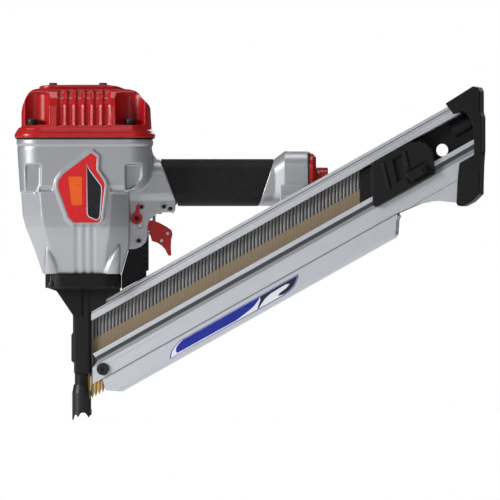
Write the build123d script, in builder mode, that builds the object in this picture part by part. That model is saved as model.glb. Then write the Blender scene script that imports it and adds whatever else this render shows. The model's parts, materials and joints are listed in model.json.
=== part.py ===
from build123d import *
import os
from math import cos, sin, radians

os.makedirs("parts", exist_ok=True)

# Pneumatic strip nailer, millimetres, +Z up.
# Origin: centre of the nail outlet, on the drive axis. +X runs back along the handle.

# ---- driving dimensions ----
nail_length = 90.0
nail_shank_r = 1.65
nail_head_r = 3.4
nail_head_t = 1.5
nail_pitch = 3.69
nail_count = 80
nail_tip_z = 8.4
nail_top_z = nail_tip_z + nail_length
drive_bore_r = 4.2
outlet_length = 8.2
driver_tip_z = nail_top_z + 2.0

flange_bottom = 129.0
body_bottom = 143.5
body_shoulder = 274.6
body_top = 283.9
gasket_t = 1.1
cap_bottom = body_top + gasket_t
cap_flange_top = 295.4
cap_top = 336.0
cover_top = 340.1

head_min_x = -69.7
head_max_x = 75.9
head_half_y = 59.0
head_mid_x = (head_min_x + head_max_x) / 2
head_len_x = head_max_x - head_min_x
cap_bolt_spots = [(-51.5, 46.0), (-51.5, -46.0), (50.4, 46.0), (50.4, -46.0)]
nose_bolt_spots = [(-31.0, 27.0), (-31.0, -27.0), (30.0, 27.0), (30.0, -27.0)]

bore_r = 25.0
sleeve_r = 28.5
sleeve_bottom = 147.5
sleeve_top = 279.0
piston_bottom = 264.0
piston_top = 276.0
bumper_top = 163.5

handle_z = 238.6
grip_y = 39.0
grip_z = 49.0
core_y = 33.0
core_z = 43.0
bell_y = 48.0
bell_z = 60.4
bell_mid_z = 241.2
bell_end_x = 235.6
end_cap_x = 243.4
inlet_face_x = 255.8
inlet_z = 240.2
inlet_thread_r = 7.3

cheek_in = 10.2
cheek_out = 16.0
pivot_x = 60.2
pivot_z = 193.5
mode_x = 57.0
mode_z = 201.2
valve_x = 75.0
bracket_pin_spots = [(61.8, 213.5), (85.4, 213.9), (92.0, 211.7), (59.1, 178.4)]

# The magazine lies in a vertical plane turned towards -Y, so that it passes the handle end.
mag_turn = radians(10.0)
mag_slope = radians(29.0)
mag_height = 103.0
rail_half = 10.0
across = (cos(mag_turn), -sin(mag_turn), 0)
rail_dir = (cos(mag_slope) * cos(mag_turn), -cos(mag_slope) * sin(mag_turn), sin(mag_slope))
side_dir = (-sin(mag_turn), -cos(mag_turn), 0)
rail_plane = Plane(origin=(0, 0, mag_height), x_dir=rail_dir, z_dir=side_dir)
turned_plane = Plane(origin=(0, 0, 0), x_dir=across, z_dir=side_dir)
section_plane = Plane(
    origin=(0, 0, mag_height), x_dir=side_dir, z_dir=tuple(-c for c in rail_dir)
)


def side(y):
    """A plane facing -Y at the given y, with local x = X and local y = Z."""
    return Plane.XZ.offset(-y)


def level(z):
    """A horizontal plane at height z, square to the turned magazine."""
    return Plane(origin=(0, 0, z), x_dir=across, z_dir=(0, 0, 1))


def station(x, z=0.0):
    """A plane facing +X at the given x, with local x = Y and local y = Z."""
    return Plane(origin=(x, 0, z), x_dir=(0, 1, 0), z_dir=(1, 0, 0))


def on_rail(a, z):
    """Rail coordinates of the point at distance a from the drive axis and height z."""
    d = z - mag_height
    u = a * cos(mag_slope) + d * sin(mag_slope)
    w = -a * sin(mag_slope) + d * cos(mag_slope)
    return (u, w)


def u_at(a, w):
    """Distance along the rail at depth w of the upright line at distance a."""
    return (a + w * sin(mag_slope)) / cos(mag_slope)


def slab(plane, points, thick, mode=Mode.ADD):
    with BuildSketch(plane) as outline:
        with BuildLine():
            Polyline(*points, close=True)
        make_face()
    extrude(outline.sketch, amount=thick, mode=mode)


def disc(plane, radius, thick, spots=((0, 0),), mode=Mode.ADD):
    with BuildSketch(plane) as outline:
        with Locations(*spots):
            Circle(radius)
    extrude(outline.sketch, amount=thick, mode=mode)


def pad(plane, size, radius, thick, spot=(0, 0), mode=Mode.ADD):
    with BuildSketch(plane) as outline:
        with Locations(spot):
            RectangleRounded(size[0], size[1], radius)
    extrude(outline.sketch, amount=thick, mode=mode)


def pin_hole(x, z, radius, y_from, length, mode=Mode.SUBTRACT):
    """A round hole or pin along -Y from y_from."""
    disc(side(y_from), radius, length, [(x, z)], mode)


def finish(part, name):
    part.label = name
    export_step(part, "parts/" + name + ".step")


# ---- outlines shared by several pieces ----
badge_outline = [
    (10.9, 273.0), (19.2, 266.2), (18.8, 251.7), (26.0, 241.3), (27.5, 236.1), (22.9, 198.6),
    (18.2, 193.8), (-9.7, 193.8), (-16.3, 201.3), (-27.6, 233.0), (-27.0, 241.3),
    (-21.8, 249.2), (7.6, 271.4),
]
cheek_outline = [
    (46.6, 219.0), (46.6, 169.0), (49.9, 169.0), (56.0, 169.6), (62.5, 172.6), (67.0, 177.2),
    (68.6, 183.0), (68.8, 195.5), (70.5, 199.5), (73.3, 202.6), (77.5, 205.8), (82.0, 207.4),
    (93.0, 207.8), (94.6, 205.6), (97.0, 210.0), (97.2, 219.0),
]
wall_outline = [
    (41.3, 143.0), (45.5, 158.0), (49.3, 171.2), (55.0, 172.0), (55.0, 184.0), (69.4, 184.0),
    (69.4, 147.4), (66.2, 146.4), (66.2, 141.1), (41.3, 127.3),
]
cap_rear = [
    (442.0, 3.2), (444.3, -10.6), (454.0, -12.2), (456.5, -16.0), (456.5, -26.0),
    (455.4, -34.0), (442.8, -57.9), (425.1, -57.9), (415.7, -71.1), (401.9, -93.2),
    (402.5, -96.1), (406.5, -98.8), (417.0, -99.2), (428.0, -96.2), (443.6, -69.9),
    (452.1, -56.8), (468.2, -27.7), (469.4, -22.4), (479.9, -3.3), (480.1, 1.4),
    (476.0, 4.9),
]
cap_pocket = [
    (425.0, 0.2), (452.0, 0.2), (463.0, -13.0), (463.0, -34.0), (449.0, -61.0),
    (431.5, -61.0), (409.0, -92.3), (385.0, -92.3), (385.0, -60.0),
]
rail_low = [
    (340.0, -70.9), (367.0, -73.6), (377.6, -76.8), (387.0, -81.4), (401.0, -91.4),
    (405.8, -91.4), (428.2, -60.2), (446.8, -60.2), (455.2, -43.3),
]

# ================= cylinder head and body =================

def body_ring(z, x_low, x_high, half_y, left, right):
    """Eight-sided section of the lower body; left and right are the corner cuts (x, y)."""
    points = [
        (x_low + left[0], half_y), (x_high - right[0], half_y), (x_high, half_y - right[1]),
        (x_high, right[1] - half_y), (x_high - right[0], -half_y), (x_low + left[0], -half_y),
        (x_low, left[1] - half_y), (x_low, half_y - left[1])]
    with BuildSketch(Plane.XY.offset(z)) as ring:
        with BuildLine():
            Polyline(*points, close=True)
        make_face()
    return ring.sketch


with BuildPart() as body_housing:
    rings = [
        (143.5, -40.4, 40.8, 33.0, (15, 12), (19, 14)),
        (158.0, -45.2, 45.0, 39.0, (16, 15), (21, 17)),
        (171.0, -49.6, 48.6, 44.8, (17, 17), (23, 19)),
        (183.0, -54.4, 49.0, 49.8, (18, 19), (21, 20)),
        (192.0, -58.0, 49.0, 52.6, (19, 20), (20, 20)),
        (204.0, -61.2, 49.0, 53.8, (20, 21), (19, 20)),
        (236.0, -63.6, 49.0, 55.0, (20, 22), (17, 20)),
    ]
    faces = [body_ring(*ring) for ring in rings]
    loft(faces, ruled=True)
    # upper box under the flange, with its rounded lower rear corner
    with BuildSketch(Plane.XY.offset(228.5)):
        with Locations((3.6, 0)):
            RectangleRounded(135.2, 110.0, 22)
    with BuildSketch(Plane.XY.offset(252)):
        with Locations((3.4, 0)):
            RectangleRounded(138.0, 111.6, 23)
    with BuildSketch(Plane.XY.offset(body_shoulder)):
        with Locations((2.8, 0)):
            RectangleRounded(139.6, 113.0, 24)
    loft(ruled=True)
    slab(side(60), [
        (49.0, 226), (49.0, 230.4), (57.5, 230.8), (63.5, 233.0), (68.4, 237.6), (71.2, 243.4),
        (72.2, 250.0), (80.0, 250.0), (80.0, 226)], 120, Mode.SUBTRACT)
    # air chamber and sleeve seat
    with BuildSketch(Plane.XZ):
        with BuildLine():
            Polyline(
                (0, sleeve_bottom), (sleeve_r + 0.1, sleeve_bottom), (sleeve_r + 0.1, 157),
                (39, 176), (44, 196), (44, 212), (45.5, 216), (45.5, 233), (50, 238), (50, 285),
                (0, 285), close=True)
        make_face()
    revolve(axis=Axis.Z, mode=Mode.SUBTRACT)
    # top flange
    pad(Plane.XY.offset(body_shoulder - 0.2), (head_len_x - 7, 2 * head_half_y - 5), 25, 3.4,
        (head_mid_x, 0))
    pad(Plane.XY.offset(body_shoulder + 3), (head_len_x - 4, 2 * head_half_y - 3), 25,
        body_top - body_shoulder - 3, (head_mid_x, 0))
    # tapering bosses over the nose bolts
    for face in (-1, 1):
        for spots in (((-31.0, 28.0, 8.4), (-33.0, 36.6, 6.0), (-35.4, 41.5, 1.6)),
                      ((30.0, 28.0, 9.4), (34.0, 33.6, 6.4), (38.8, 36.8, 1.6))):
            for z, (x, y, radius) in zip((body_bottom, 158.5, 173.0), spots):
                with BuildSketch(Plane.XY.offset(z)):
                    with Locations((x, face * y)):
                        Circle(radius)
            loft()
    # handle root, full size up to the slanting front of the grip
    pad(station(44, handle_z), (grip_y, grip_z), 16, 54)
    slab(side(40), [(78.6, 270), (99.5, 214.5), (99.5, 200), (115, 200), (115, 270)], 80,
         Mode.SUBTRACT)
    # rear bell, full size behind the slanting end of the grip
    pad(station(181, handle_z), (grip_y, grip_z), 16, 31)
    slab(side(40), [(202.2, 270), (181.0, 206), (175, 206), (175, 270)], 80, Mode.SUBTRACT)
    # handle core under the grip
    pad(station(60, handle_z), (core_y, core_z), 12, 150)
    with BuildSketch(station(200, bell_mid_z)):
        with Locations((0, handle_z - bell_mid_z)):
            RectangleRounded(grip_y, grip_z, 15)
    with BuildSketch(station(211, bell_mid_z)):
        RectangleRounded(bell_y, bell_z, 16)
    loft()
    pad(station(211, bell_mid_z), (bell_y, bell_z), 16, bell_end_x - 211)
    # neck web between head and handle
    slab(side(9), [(58, 281), (72, 281), (72.4, 275), (74, 268), (79, 262), (58, 250)], 18)
    # trigger bracket cheeks
    slab(side(cheek_out), cheek_outline, cheek_out - cheek_in)
    slab(side(-cheek_in), cheek_outline, cheek_out - cheek_in)
    # rings round the bracket pins
    for y_from in (cheek_out + 0.2, -cheek_out):
        disc(side(y_from), 3.7, 0.2, bracket_pin_spots)
    # pocket beside the mode lever
    slab(side(cheek_out + 1), [(49.8, 208.4), (49.8, 216.6), (56.0, 216.6), (56.0, 208.4)], 3,
         Mode.SUBTRACT)
    # the chamber again, where the handle root reaches into it
    with BuildSketch(Plane.XZ) as chamber:
        with BuildLine():
            Polyline((0, 213), (44.3, 213), (45.5, 216), (45.5, 233), (50, 238), (50, 290),
                     (0, 290), close=True)
        make_face()
    revolve(chamber.sketch, axis=Axis.Z, mode=Mode.SUBTRACT)
    # raised badge frames on both faces
    slab(side(-50), badge_outline, 8.2)
    slab(side(58.2), badge_outline, 8.2)
    for y_from in (58.2, -57.0):
        with BuildSketch(side(y_from)) as recess:
            with BuildLine():
                Polyline(*badge_outline, close=True)
            make_face()
            offset(amount=-3.1, mode=Mode.REPLACE)
        extrude(recess.sketch, amount=1.2, mode=Mode.SUBTRACT)
    # corner pockets under the cap bolts, open at the shoulder
    left_pocket = [(-58.2, 226), (-58.2, 257), (-42.6, 257), (-42.6, 236), (-46.5, 228), (-50, 226)]
    right_pocket = [(45.6, 230.6), (45.6, 257.6), (62.9, 257.6), (62.9, 247.0), (61.0, 240.6),
                    (56.5, 235.0), (50.5, 231.4)]
    for outline in (left_pocket, right_pocket):
        slab(side(-47.5), outline, 12, Mode.SUBTRACT)
        slab(side(59.5), outline, 12, Mode.SUBTRACT)
    # step across the lower faces beside the pockets
    for x_low, x_high in ((-44, -30), (30, 46)):
        for face in (-1, 1):
            step = [(face * 60, 229), (face * 60, 234.5), (face * 54.0, 234.5), (face * 52.6, 229)]
            slab(station(x_low), step, x_high - x_low, Mode.SUBTRACT)
    # upright flutes below the badge frames
    for x_low, x_high in ((-7.4, -1.6), (1.6, 6.2), (9.6, 14.2)):
        for face in (-1, 1):
            flute = [(face * y, z) for y, z in (
                (60, 140), (60, 196), (51.6, 196), (51.2, 192), (48.4, 183), (43.4, 171),
                (37.6, 158), (31.0, 142))]
            slab(station(x_low), flute, x_high - x_low, Mode.SUBTRACT)
    disc(Plane.XY.offset(140), 15, 10, mode=Mode.SUBTRACT)
    # air way through the handle
    pad(station(40, handle_z), (24, 33), 9, 200, mode=Mode.SUBTRACT)
    pad(station(214, inlet_z), (38, 46), 12, 30, mode=Mode.SUBTRACT)
    # trigger valve bore
    disc(Plane.XY.offset(204), 8.1, 22, [(valve_x, 0)], Mode.SUBTRACT)
    # room for trigger and lever between the cheeks
    slab(side(cheek_in), [(49.9, 160), (49.9, 212.5), (101, 212.5), (101, 160)],
         2 * cheek_in, Mode.SUBTRACT)
    # holes
    disc(Plane.XY.offset(275), 3.05, 12, cap_bolt_spots, Mode.SUBTRACT)
    disc(Plane.XY.offset(140), 2.85, 22, nose_bolt_spots, Mode.SUBTRACT)
    for x, z in bracket_pin_spots:
        pin_hole(x, z, 2.05, 30, 60)
    pin_hole(pivot_x, pivot_z, 2.45, 30, 60)
    pin_hole(mode_x, mode_z, 3.05, 0, 30)
    for y in (-15.5, 15.5):
        for dz in (-19.5, 19.5):
            disc(station(225, inlet_z), 2.55, 12, [(y, dz)], Mode.SUBTRACT)
finish(body_housing.part, "body_housing")

with BuildPart() as cap_gasket:
    pad(Plane.XY.offset(body_top), (head_len_x - 2, 2 * head_half_y - 2), 24, gasket_t,
        (head_mid_x, 0))
    disc(Plane.XY.offset(body_top), 50, gasket_t, mode=Mode.SUBTRACT)
    disc(Plane.XY.offset(body_top), 3.2, gasket_t, cap_bolt_spots, Mode.SUBTRACT)
finish(cap_gasket.part, "cap_gasket")

cap_side = [
    (-62.4, 292), (-62.7, 311), (-61.6, 317.6), (-58.6, 325.4), (-55.2, 331.4), (-51.0, 334.8),
    (-46.0, 336.0), (40.0, 336.0), (50.0, 335.2), (55.6, 333.8), (59.2, 331.4), (62.6, 326.6),
    (69.4, 319.8), (71.0, 316.2), (72.4, 292)]
cap_end = [
    (-57.4, 292), (-56.2, 318.0), (-52.0, 326.5), (-44.5, 333.0), (-38.0, 336.0), (38.0, 336.0),
    (44.5, 333.0), (52.0, 326.5), (56.2, 318.0), (57.4, 292)]

with BuildPart() as cylinder_cap:
    slab(side(60), cap_side, 120)
    slab(station(-80), cap_end, 160, Mode.INTERSECT)
    pad(Plane.XY.offset(280), (136, 116), 27, 80, (5.0, 0), Mode.INTERSECT)
    # ribbed flange
    pad(Plane.XY.offset(cap_bottom), (head_len_x, 2 * head_half_y), 25, 4.6, (head_mid_x, 0))
    pad(Plane.XY.offset(cap_bottom + 4.6), (head_len_x - 3.4, 2 * head_half_y - 2.4), 24, 2.8,
        (head_mid_x, 0))
    pad(Plane.XY.offset(cap_bottom + 7.4), (head_len_x - 8, 2 * head_half_y - 3.2), 24,
        cap_flange_top - cap_bottom - 7.4, (head_mid_x - 0.5, 0))
    # hollow corners round the bolt heads
    for x, radius in ((-47.4, 14.0), (50.6, 15.2)):
        disc(Plane.XY.offset(298), radius, 34, [(x, 53.0), (x, -53.0)], Mode.SUBTRACT)
    # flutes on the two broad faces
    for i in range(6):
        x = -20.7 + 9.3 * i
        disc(Plane.XY.offset(297.0), 5.5, 36, [(x, 59.6), (x, -59.6)], Mode.SUBTRACT)
        for face in (-1, 1):
            lane = [(face * y, z) for y, z in (
                (56.0, 316.0), (60.0, 330.0), (52.0, 338.0), (40.0, 333.4), (50.2, 326.0))]
            slab(station(x - 3.4), lane, 6.8, Mode.SUBTRACT)
    # inside: air chamber, head valve guide, exhaust hole
    disc(Plane.XY.offset(cap_bottom), 50, 10, mode=Mode.SUBTRACT)
    with BuildSketch(Plane.XY.offset(cap_bottom)):
        Circle(49)
        Circle(37.4, mode=Mode.SUBTRACT)
    extrude(amount=39, mode=Mode.SUBTRACT)
    disc(Plane.XY.offset(cap_bottom), 33.3, 37, mode=Mode.SUBTRACT)
    disc(Plane.XY.offset(cap_bottom), 10, 60, mode=Mode.SUBTRACT)
    disc(Plane.XY.offset(cap_bottom), 3.2, 20, cap_bolt_spots, Mode.SUBTRACT)
    disc(Plane.XY.offset(322), 2.3, 20, [(-30, 0), (22, 0)], Mode.SUBTRACT)
finish(cylinder_cap.part, "cylinder_cap")

with BuildPart() as cap_bolts:
    disc(Plane.XY.offset(298), 5.6, 6.5, cap_bolt_spots)
    chamfer(cap_bolts.edges().group_by(Axis.Z)[-1], 0.7)
    with BuildSketch(Plane.XY.offset(304.5)):
        with Locations(*cap_bolt_spots):
            RegularPolygon(2.9, 6)
    extrude(amount=-4, mode=Mode.SUBTRACT)
    disc(Plane.XY.offset(276), 3.0, 22, cap_bolt_spots)
finish(cap_bolts.part, "cap_bolts")

with BuildPart() as exhaust_cover:
    slab(side(34), [(-44.6, cap_top), (-44.2, 337.8), (-42.0, 339.2), (-32.0, cover_top - 0.2),
                    (-10.0, cover_top), (26.0, cover_top), (37.0, 338.6), (45.0, 336.0)], 68)
    pad(Plane.XY.offset(cap_top - 1), (90, 68), 15, 8, (0.4, 0), Mode.INTERSECT)
    # exhaust space under the plate, open through slots at the front edge
    pad(Plane.XY.offset(cap_top), (64, 26), 8, 2.2, (-10, 0), Mode.SUBTRACT)
    for y in (-9.0, 0.0, 9.0):
        pad(Plane.XY.offset(cap_top), (20, 4), 1, 2.2, (-42, y), Mode.SUBTRACT)
    disc(Plane.XY.offset(cap_top), 5.5, 2.2, [(-30, 0), (22, 0)])
    disc(Plane.XY.offset(cap_top), 2.35, 6, [(-30, 0), (22, 0)], Mode.SUBTRACT)
finish(exhaust_cover.part, "exhaust_cover")

with BuildPart() as exhaust_screws:
    disc(Plane.XY.offset(cover_top), 4.2, 2.2, [(-30, 0), (22, 0)])
    chamfer(exhaust_screws.edges().group_by(Axis.Z)[-1], 0.6)
    with BuildSketch(Plane.XY.offset(cover_top + 2.2)):
        with Locations((-30, 0), (22, 0)):
            RegularPolygon(1.7, 6)
    extrude(amount=-1.4, mode=Mode.SUBTRACT)
    disc(Plane.XY.offset(323), 2.2, cover_top - 323, [(-30, 0), (22, 0)])
finish(exhaust_screws.part, "exhaust_screws")

with BuildPart() as side_badges:
    for plane in (side(-57.0), side(57.9)):
        with BuildSketch(plane):
            with BuildLine():
                Polyline(*badge_outline, close=True)
            make_face()
            offset(amount=-3.2, mode=Mode.REPLACE)
        extrude(amount=0.9)
finish(side_badges.part, "side_badges")

# ================= cylinder, piston and head valve =================

with BuildPart() as cylinder_sleeve:
    disc(Plane.XY.offset(sleeve_bottom), sleeve_r, sleeve_top - sleeve_bottom)
    disc(Plane.XY.offset(199), 43.6, 8)
    disc(Plane.XY.offset(sleeve_bottom), bore_r, 140, mode=Mode.SUBTRACT)
    with BuildSketch(Plane.XY.offset(201.4)):
        Circle(44)
        Circle(41.2, mode=Mode.SUBTRACT)
    extrude(amount=3.2, mode=Mode.SUBTRACT)
    # return air holes above the bumper
    with BuildSketch(Plane.XZ):
        with Locations((0, 178)):
            Circle(2)
    extrude(amount=40, both=True, mode=Mode.SUBTRACT)
    with BuildSketch(Plane.YZ):
        with Locations((0, 178)):
            Circle(2)
    extrude(amount=40, both=True, mode=Mode.SUBTRACT)
finish(cylinder_sleeve.part, "cylinder_sleeve")

with BuildPart() as cylinder_seal:
    with BuildSketch(Plane.XZ):
        with Locations((42.6, 203)):
            Circle(1.3)
    revolve(axis=Axis.Z)
finish(cylinder_seal.part, "cylinder_seal")

with BuildPart() as bumper:
    with BuildSketch(Plane.XZ):
        with BuildLine():
            Polyline(
                (8, sleeve_bottom), (24.9, sleeve_bottom), (24.9, 153), (22.5, 156),
                (24.4, 160), (24.4, bumper_top - 1.5), (22.9, bumper_top), (8, bumper_top),
                close=True)
        make_face()
    revolve(axis=Axis.Z)
finish(bumper.part, "bumper")

with BuildPart() as piston:
    disc(Plane.XY.offset(piston_bottom), 24.7, piston_top - piston_bottom)
    disc(Plane.XY.offset(piston_bottom - 0.2), 7.4, 6)
    disc(Plane.XY.offset(piston_top), 19, -4, mode=Mode.SUBTRACT)
    with BuildSketch(Plane.XY.offset(267.6)):
        Circle(25)
        Circle(21.8, mode=Mode.SUBTRACT)
    extrude(amount=4.2, mode=Mode.SUBTRACT)
    # slot that holds the top of the driver blade
    with BuildSketch(level(250)):
        Circle(3.45)
        with Locations((3.55 - 0.05, 0)):
            Rectangle(7, 7.2, mode=Mode.SUBTRACT)
    extrude(amount=20.05, mode=Mode.SUBTRACT)
finish(piston.part, "piston")

with BuildPart() as piston_ring:
    with BuildSketch(Plane.XY.offset(267.7)):
        Circle(24.93)
        Circle(21.9, mode=Mode.SUBTRACT)
    extrude(amount=4.0)
finish(piston_ring.part, "piston_ring")

with BuildPart() as driver_blade:
    with BuildSketch(level(driver_tip_z)):
        Circle(3.4)
        with Locations((3.4, 0)):
            Rectangle(7, 7.2, mode=Mode.SUBTRACT)
    extrude(amount=270 - driver_tip_z)
finish(driver_blade.part, "driver_blade")

with BuildPart() as head_valve:
    disc(Plane.XY.offset(sleeve_top + 0.1), 33.0, 310 - sleeve_top)
    disc(Plane.XY.offset(287), 28, 40, mode=Mode.SUBTRACT)
    disc(Plane.XY.offset(270), 9, 40, mode=Mode.SUBTRACT)
    disc(Plane.XY.offset(287), 12, 22)
    disc(Plane.XY.offset(270), 9, 60, mode=Mode.SUBTRACT)
    with BuildSketch(Plane.XY.offset(304)):
        Circle(34)
        Circle(31.4, mode=Mode.SUBTRACT)
    extrude(amount=2.4, mode=Mode.SUBTRACT)
finish(head_valve.part, "head_valve")

with BuildPart() as head_valve_spring:
    with BuildLine():
        Helix(pitch=6.4, height=32, radius=20, center=(0, 0, 288.3))
    with BuildSketch(Plane(origin=(20, 0, 288.3), z_dir=(0, 1, 0.05))):
        Circle(1.1)
    sweep(is_frenet=True)
finish(head_valve_spring.part, "head_valve_spring")

# ================= nose and contact arm =================

with BuildPart() as nose_casting:
    pad(Plane.XY.offset(flange_bottom), (78.6, 72), 20, body_bottom - flange_bottom, (1.3, 0))
    slab(side(9.8), [(38, 129.0), (41.0, 129.0), (41.0, 142.6), (38, 143.5)], 19.6)
    # drive guide column
    pad(level(53), (19.0, 20.0), 3, 78, (1.2, 0))
    pad(level(40), (17.9, 20.0), 3, 14, (1.75, 0))
    disc(Plane.XY.offset(0), 7.5, 42)
    chamfer(nose_casting.edges().group_by(Axis.Z)[0], 0.6)
    # sloping front web
    slab(side(12), [(-37, 129.5), (-26.5, 125.8), (-21.5, 118.6), (-8.3, 99), (0, 99),
                    (0, 129.5)], 24)
    slab(side(6.5), [(-11.1, 53), (-11.1, 81), (-6, 84), (-6, 50)], 13)
    # arm above the magazine front
    slab(turned_plane.offset(-9), [(8, 108), (10.7, 109.3), (39.0, 125.1), (39.0, 131), (8, 131)],
         18)
    # lip that hides the front of the upper rib of the magazine
    slab(rail_plane.offset(6.0), [(4, -3.9), (27.5, -3.9), (30.0, -1.4), (30.0, 2.0), (4, 2.0)], 3)
    # wing plate that carries the magazine, far side
    slab(turned_plane.offset(-13), [(-8, 37), (11.6, 37), (13, 31), (44, 46), (44, 112),
                                    (10, 100), (-8, 100)], 3)
    # drive bore and nail entry
    disc(Plane.XY.offset(-1), drive_bore_r, 10, mode=Mode.SUBTRACT)
    disc(Plane.XY.offset(outlet_length), drive_bore_r + 0.3, 140, mode=Mode.SUBTRACT)
    slab(turned_plane.offset(-4.3), [(0, 8.2), (14, 15.0), (14, 112), (0, 105.4)], 8.6,
         Mode.SUBTRACT)
    disc(Plane.XY.offset(125), 2.95, 20, nose_bolt_spots, Mode.SUBTRACT)
    disc(Plane.XY.offset(flange_bottom - 1), 5.6, 7.4, nose_bolt_spots, Mode.SUBTRACT)
    with BuildSketch(rail_plane.offset(-14)):
        with Locations((-7.0, -62.6)):
            Circle(2.6)
    extrude(amount=6, mode=Mode.SUBTRACT)
finish(nose_casting.part, "nose_casting")

with BuildPart() as nose_bolts:
    disc(Plane.XY.offset(flange_bottom + 0.4), 5.0, 6, nose_bolt_spots)
    chamfer(nose_bolts.edges().group_by(Axis.Z)[0], 0.6)
    with BuildSketch(Plane.XY.offset(flange_bottom + 0.4)):
        with Locations(*nose_bolt_spots):
            RegularPolygon(2.6, 6)
    extrude(amount=3, mode=Mode.SUBTRACT)
    disc(Plane.XY.offset(flange_bottom + 6), 2.8, 24, nose_bolt_spots)
finish(nose_bolts.part, "nose_bolts")

with BuildPart() as contact_foot:
    disc(Plane.XY.offset(-8.1), 10.2, 28.1)
    with BuildSketch(Plane.XY.offset(20)):
        Circle(10.2)
    with BuildSketch(Plane.XY.offset(29)):
        Circle(8.5)
    loft()
    # ear for the contact arm
    slab(Plane.XY.offset(8), [(-4.8, 8), (4.8, 8), (4.8, 16), (-4.8, 16)], 12)
    disc(Plane.XY.offset(-9), 7.9, 39, mode=Mode.SUBTRACT)
    # nails enter from the magazine side
    slab(turned_plane.offset(-4.9), [(0, 3.2), (14, 3.2), (14, 30), (0, 30)], 9.8,
         Mode.SUBTRACT)
    # teeth: a long front one, a notch, an arch and a broad rear one
    slab(side(14), [
        (-8.8, -9.0), (-8.8, -7.8), (-7.0, -2.6), (-5.7, -3.0), (-4.1, -5.6), (-2.6, -3.2),
        (-1.2, -1.1), (1.1, -0.6), (3.4, -0.9), (5.0, -2.8), (6.9, -6.0), (8.7, -3.4),
        (11.0, -2.8), (11.0, -9.0)], 28, Mode.SUBTRACT)
    pin_hole(0, 14, 1.55, 20, 13)
finish(contact_foot.part, "contact_foot")

with BuildPart() as contact_arm:
    slab(side(19), [
        (-4.8, 8.2), (4.8, 8.2), (4.8, 103), (48, 107), (66.9, 128), (66.9, 152),
        (57, 152), (57, 134), (43.5, 118), (-4.8, 114)], 3)
    # cross bar and finger that reach under the trigger lever
    slab(side(16.2), [(57, 148), (66.9, 148), (66.9, 152), (57, 152)], 17.9)
    slab(side(1.7), [(62.9, 149), (66.9, 149), (66.9, 183), (62.9, 183)], 3.4)
    pin_hole(0, 14, 1.6, 20, 5)
finish(contact_arm.part, "contact_arm")

with BuildPart() as arm_screw:
    disc(side(19), 1.5, 10, [(0, 14)])
    disc(side(21), 3.4, 2, [(0, 14)])
    with BuildSketch(side(21)):
        with Locations((0, 14)):
            RegularPolygon(1.5, 6)
    extrude(amount=1.3, mode=Mode.SUBTRACT)
finish(arm_screw.part, "arm_screw")

with BuildPart() as contact_arm_cover:
    slab(side(9.8), wall_outline, 19.6)
    slab(side(7.8), [(40, 130), (40, 190), (67.3, 190), (67.3, 130)], 15.6, Mode.SUBTRACT)
    slab(side(12), [(56.4, 147), (67.2, 147), (67.2, 161.5), (56.4, 161.5)], 5,
         Mode.SUBTRACT)
    pin_hole(59.1, 178.4, 2.05, 12, 24)
    # stiffening ribs on the outside of the wall
    for z in (152.0, 158.0, 164.0):
        slab(side(-9.8), [(64, z), (69.4, z), (69.4, z + 1.6), (64, z + 1.6)], 0.8)
finish(contact_arm_cover.part, "contact_arm_cover")

with BuildPart() as contact_arm_spring:
    with BuildLine():
        Helix(pitch=2.9, height=22.2, radius=2.9, center=(59.0, 4.0, 152.8))
    with BuildSketch(Plane(origin=(61.9, 4.0, 152.8), z_dir=(0, 1, 0.16))):
        Circle(0.5)
    sweep(is_frenet=True)
finish(contact_arm_spring.part, "contact_arm_spring")

# ================= trigger group =================

trigger_outline = [
    (56.6, 196.6), (57.4, 190.2), (61.0, 188.6), (70.2, 188.0), (70.3, 186.4), (72.8, 177.8),
    (78.5, 176.0), (83.5, 172.6), (87.0, 168.2), (89.6, 163.0), (91.6, 162.3), (92.9, 163.6),
    (92.4, 172.0), (92.9, 180.0), (94.2, 184.5), (93.1, 189.1), (88.1, 192.8), (80.5, 196.8),
    (74.0, 199.6), (69.0, 199.0), (60.2, 198.4),
]
trigger_inside = [
    (50, 205), (50, 180), (74.2, 180.6), (80.6, 178.0), (86.0, 174.0), (89.0, 170.6),
    (89.8, 182.0), (96, 184.0), (96, 205),
]

with BuildPart() as trigger:
    slab(side(9.0), trigger_outline, 18)
    slab(side(6.5), trigger_inside, 13, Mode.SUBTRACT)
    pin_hole(pivot_x, pivot_z, 2.45, 12, 24)
    pin_hole(89.2, 185.6, 1.75, 12, 24)
    pin_hole(82.8, 178.2, 1.75, 12, 24)
finish(trigger.part, "trigger")

with BuildPart() as trigger_pivot:
    disc(side(15.9), 2.4, 31.8, [(pivot_x, pivot_z)])
finish(trigger_pivot.part, "trigger_pivot")

with BuildPart() as lever_pins:
    disc(side(9.2), 1.7, 18.4, [(89.2, 185.6)])
    disc(side(9.2), 1.7, 18.4, [(82.8, 178.2)])
finish(lever_pins.part, "lever_pins")

with BuildPart() as trigger_contact_lever:
    slab(side(4.0), [
        (63.4, 184.9), (80, 182.9), (87.0, 182.6), (89.2, 182.3), (91.6, 183.4), (92.4, 185.6),
        (91.6, 187.9), (89.2, 188.8), (86.6, 187.6), (63.4, 187.3)], 8)
    slab(side(2.8), [(60, 186.0), (84, 185.0), (84, 190), (60, 190)], 5.6, Mode.SUBTRACT)
    pin_hole(89.2, 185.6, 1.75, 12, 24)
finish(trigger_contact_lever.part, "trigger_contact_lever")

with BuildPart() as bracket_pins:
    for x, z in bracket_pin_spots:
        disc(side(15.9), 2.0, 31.8, [(x, z)])
        with BuildSketch(side(-15.9 + 2)):
            with Locations((x, z)):
                Circle(1.0)
        extrude(amount=2, mode=Mode.SUBTRACT)
finish(bracket_pins.part, "bracket_pins")

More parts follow.
